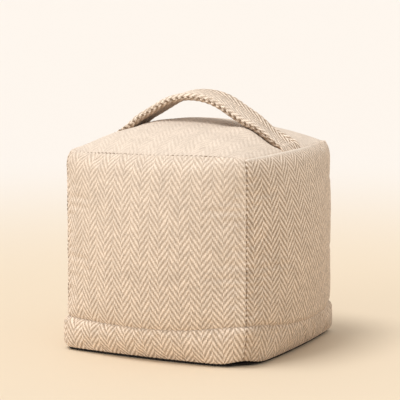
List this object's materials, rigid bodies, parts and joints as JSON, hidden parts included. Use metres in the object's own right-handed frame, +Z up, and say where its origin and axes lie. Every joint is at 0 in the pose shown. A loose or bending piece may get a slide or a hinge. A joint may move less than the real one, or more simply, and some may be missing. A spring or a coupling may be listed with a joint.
{
  "type": "weighted fabric door stop",
  "caption": "Weighted cube of herringbone cloth with a folded carrying strap over its domed top and a dark non-slip base cloth.",
  "frame": {"origin": "on the floor, under the middle of the cube", "axes": "+Z up, the front face looks along -Y, the strap arches along X"},
  "size_m": [0.178, 0.178, 0.1767],
  "materials": {
    "herringbone_cloth": "cream and brown herringbone weave",
    "base_cloth": "black non-slip cloth",
    "strap_cloth": "folded and stitched herringbone cloth"
  },
  "bodies": {
    "root": {"filled_cover": "herringbone_cloth", "base_panel": "base_cloth", "handle_strap": "strap_cloth"}
  },
  "joints": []
}
